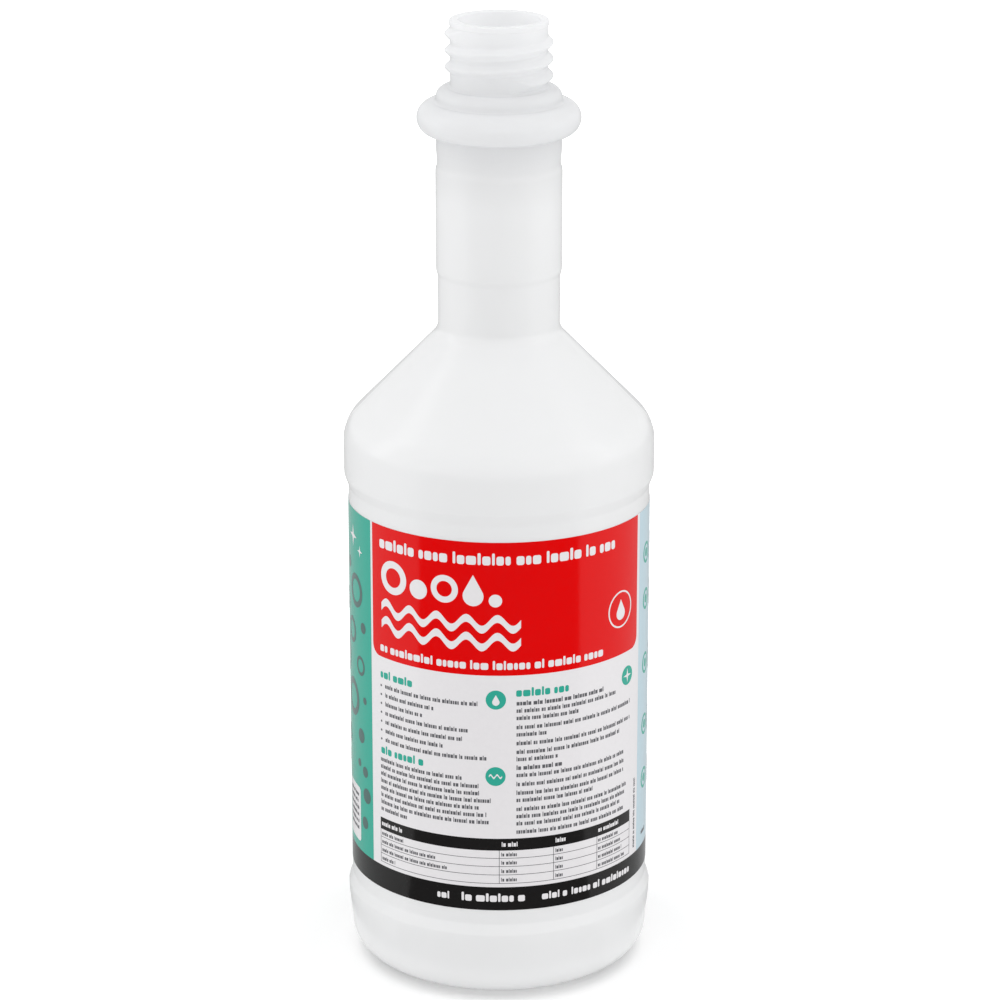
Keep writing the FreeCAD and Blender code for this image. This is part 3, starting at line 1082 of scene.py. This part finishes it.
# %% Floor
def white_sheet():
    """A matt sheet that also glows, more to the camera than on the bottle."""
    material = bpy.data.materials.new("white_sheet")
    material.use_nodes = True
    nodes, links = material.node_tree.nodes, material.node_tree.links
    nodes.clear()
    out = nodes.new("ShaderNodeOutputMaterial")
    both = nodes.new("ShaderNodeAddShader")
    matt = nodes.new("ShaderNodeBsdfDiffuse")
    shine = nodes.new("ShaderNodeEmission")
    matt.inputs["Color"].default_value = (0.80, 0.80, 0.80, 1)
    # The glow that the camera sees is lowered round the foot, as a painted shadow.
    seen = seen_strength(nodes, links, glow_and_painted_shadow(nodes, links), sheet_light)
    links.new(seen, shine.inputs["Strength"])
    links.new(matt.outputs["BSDF"], both.inputs[0])
    links.new(shine.outputs["Emission"], both.inputs[1])
    links.new(both.outputs["Shader"], out.inputs["Surface"])
    return material


def flat_piece(name, corners, material):
    """A flat sheet, with corners in metres."""
    mesh = bpy.data.meshes.new(name)
    mesh.from_pydata(corners, [], [tuple(range(len(corners)))])
    piece = bpy.data.objects.new(name, mesh)
    bpy.context.collection.objects.link(piece)
    mesh.materials.append(material)
    return piece


reach = 6.0
floor_corners = [(-reach, -reach, 0), (reach, -reach, 0), (reach, reach, 0), (-reach, reach, 0)]
floor = flat_piece("floor", floor_corners, white_sheet())
print("sheet", 2 * reach, "m wide")

# %% Room
world = bpy.data.worlds.new("white_room")
bpy.context.scene.world = world
world.use_nodes = True
room = world.node_tree
walls = room.nodes["Background"]
walls.inputs["Color"].default_value = (1, 1, 1, 1)
room_strength = seen_strength(room.nodes, room.links, room_seen, room_light)
room.links.new(room_strength, walls.inputs["Strength"])
print("room", world.name)


# %% Soft lamps
def soft_lamp(name, place, wide, tall, power, mirrored=True):
    """A large soft lamp that looks at the middle of the bottle, in metres and watts."""
    data = bpy.data.lights.new(name, "AREA")
    data.shape = "RECTANGLE"
    data.size = wide
    data.size_y = tall
    data.energy = power
    lamp = bpy.data.objects.new(name, data)
    lamp.location = place
    lamp.visible_glossy = mirrored
    facing = Vector((0, 0, rim * MM / 2)) - lamp.location
    lamp.rotation_euler = facing.to_track_quat("-Z", "Y").to_euler()
    bpy.context.collection.objects.link(lamp)
    return lamp


lamps = [
    soft_lamp("lamp_left", Vector((-0.80, 0.10, 0.50)), 0.26, 0.86, 0.6),
    soft_lamp("lamp_right", Vector((0.80, -0.05, 0.50)), 0.26, 0.86, 0.45),
    soft_lamp("fill_left", Vector((-0.85, 0.10, 0.50)), 0.6, 0.9, 1.0, mirrored=False),
    soft_lamp("fill_right", Vector((0.85, -0.05, 0.50)), 0.6, 0.9, 1.05, mirrored=False),
    soft_lamp("lamp_front", Vector((0.0, -1.20, 0.90)), 1.2, 0.6, 2.0, mirrored=False),
    soft_lamp("lamp_above", Vector((0.0, -0.25, 1.50)), 1.0, 1.0, 2.2, mirrored=False),
]
print([lamp.name for lamp in lamps])


# %% Mats that are seen in reflections only
def mirrored_mat(name, first, last, colour):
    """A flat sector of a round mat on the floor, round the bottle."""
    near, far, lift = 0.05, 4.0, 0.0003
    steps = round((last - first) / 5)
    turns = [math.radians(first + (last - first) * step / steps) for step in range(steps + 1)]
    corners = [(size * math.sin(turn), -size * math.cos(turn), lift)
               for size, order in ((near, turns), (far, turns[::-1])) for turn in order]
    material = bpy.data.materials.new(name)
    material.use_nodes = True
    shader = material.node_tree.nodes["Principled BSDF"]
    shader.inputs["Base Color"].default_value = (colour, colour, colour, 1)
    shader.inputs["Roughness"].default_value = 1
    shader.inputs["Specular IOR Level"].default_value = 0
    mat = flat_piece(name, corners, material)
    mat.visible_camera = False
    mat.visible_diffuse = False
    mat.visible_transmission = False
    mat.visible_shadow = False
    mat.visible_volume_scatter = False
    return mat


dark_mat = mirrored_mat("dark_mat", -60, 60, 0.01)
grey_mat = mirrored_mat("grey_mat", 60, 300, 0.55)
print("mats", [mat.name for mat in (dark_mat, grey_mat)])

# %% [markdown]
# ## Camera
#
# The bottle is seen from a little above, with a long lens, so that its sides stay
# almost upright and its rim shows as a flat oval with the bore inside it.

# %% Camera
camera_data = bpy.data.cameras.new("camera")
camera_data.sensor_width = 36
camera_data.lens = 138.75
camera = bpy.data.objects.new("camera", camera_data)
camera.location = (0.00026, -0.9577, 0.4371)
camera.rotation_euler = (math.radians(71.94), 0, 0)
bpy.context.collection.objects.link(camera)
bpy.context.scene.camera = camera
bpy.context.scene.view_settings.view_transform = "Standard"
print("camera %.2f m from the bottle's foot" % camera.location.length)
